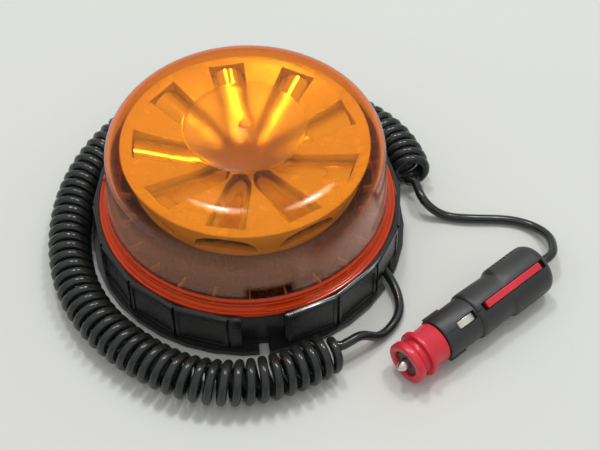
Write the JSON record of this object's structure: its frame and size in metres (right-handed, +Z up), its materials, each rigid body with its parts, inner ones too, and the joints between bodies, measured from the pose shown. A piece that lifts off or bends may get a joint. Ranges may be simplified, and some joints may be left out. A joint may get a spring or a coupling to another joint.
{
  "type": "led warning beacon",
  "caption": "Low amber LED warning beacon with a dome lens on a round magnetic base, a curly cord and a vehicle power plug with a sleeve adaptor.",
  "frame": {"origin": "centre of the rubber foot's underside, on the beacon's axis", "axes": "+Z up along the beacon's axis, -Y towards the viewer of the picture, +X to the right"},
  "size_m": [0.2401, 0.1984, 0.0712],
  "materials": {
    "base_black": "fine texture",
    "rubber": "matte",
    "ferrite": "ground",
    "steel": "zinc plated",
    "cord_black": "satin",
    "board_green": "solder resist",
    "capacitor_grey": "sleeved",
    "inductor_black": "ferrite",
    "terminal_green": "moulded",
    "board_white": "white solder resist",
    "led_white": "phosphor",
    "optic_silver": "satin metallised",
    "lens_amber": "clear amber",
    "plug_black": "fine texture",
    "plug_red": "moulded",
    "nickel": "nickel plated",
    "brass": "plain",
    "fuse_glass": "clear"
  },
  "bodies": {
    "beacon": {"base_housing": "base_black", "floor_plate": "base_black", "floor_screw_1": "steel", "floor_screw_2": "steel", "floor_screw_3": "steel", "rubber_boot": "rubber", "magnet": "ferrite", "keeper_plate": "steel", "magnet_bolt": "steel", "magnet_nut": "steel", "cord_gland": "cord_black", "tower": "base_black", "tower_screw_1": "steel", "tower_screw_2": "steel", "tower_screw_3": "steel", "driver_board": "board_green", "capacitor": "capacitor_grey", "inductor": "inductor_black", "terminal_block": "terminal_green", "inner_lead": "cord_black", "led_board": "board_white", "led_1": "led_white", "led_2": "led_white", "led_3": "led_white", "led_4": "led_white", "led_5": "led_white", "led_6": "led_white", "led_7": "led_white", "led_8": "led_white", "led_9": "led_white", "optic": "optic_silver", "optic_screw_1": "steel", "optic_screw_2": "steel", "lens_seal": "rubber", "cord_lead": "cord_black", "cord_coil": "cord_black", "cord_tail": "cord_black", "plug_shell_left": "plug_black", "plug_shell_right": "plug_black", "tip_spring": "steel", "fuse": "fuse_glass", "fuse_terminal": "brass"},
    "lens": {"lens_dome": "lens_amber"},
    "tip": {"tip_contact": "nickel"},
    "upper_contact": {"side_contact_upper": "nickel"},
    "lower_contact": {"side_contact_lower": "nickel"},
    "adaptor": {"adaptor_sleeve": "plug_red"},
    "lock": {"lock_slide": "plug_red"}
  },
  "joints": [
    {"name": "lens_twist", "type": "hinge", "parent": "beacon", "child": "lens", "pos_m": [0, 0, 0], "axis": [0, 0, 1], "range_deg": [-9, 0]},
    {"name": "tip_press", "type": "slide", "parent": "beacon", "child": "tip", "axis": [0.7626, 0.6468, 0.0079], "range_m": [0, 0.003], "stiffness_N_per_m": 500},
    {"name": "upper_contact_press", "type": "slide", "parent": "beacon", "child": "upper_contact", "axis": [-0.2782, 0.3389, -0.8988], "range_m": [0, 0.0015], "stiffness_N_per_m": 800},
    {"name": "lower_contact_press", "type": "slide", "parent": "beacon", "child": "lower_contact", "axis": [0.2782, -0.3389, 0.8988], "range_m": [0, 0.0015], "stiffness_N_per_m": 800},
    {"name": "adaptor_pull", "type": "slide", "parent": "beacon", "child": "adaptor", "axis": [-0.7626, -0.6468, -0.0079], "range_m": [0, 0.024]},
    {"name": "lock_slide_move", "type": "slide", "parent": "beacon", "child": "lock", "axis": [0.7626, 0.6468, 0.0079], "range_m": [-0.0022, 0.0022]}
  ]
}
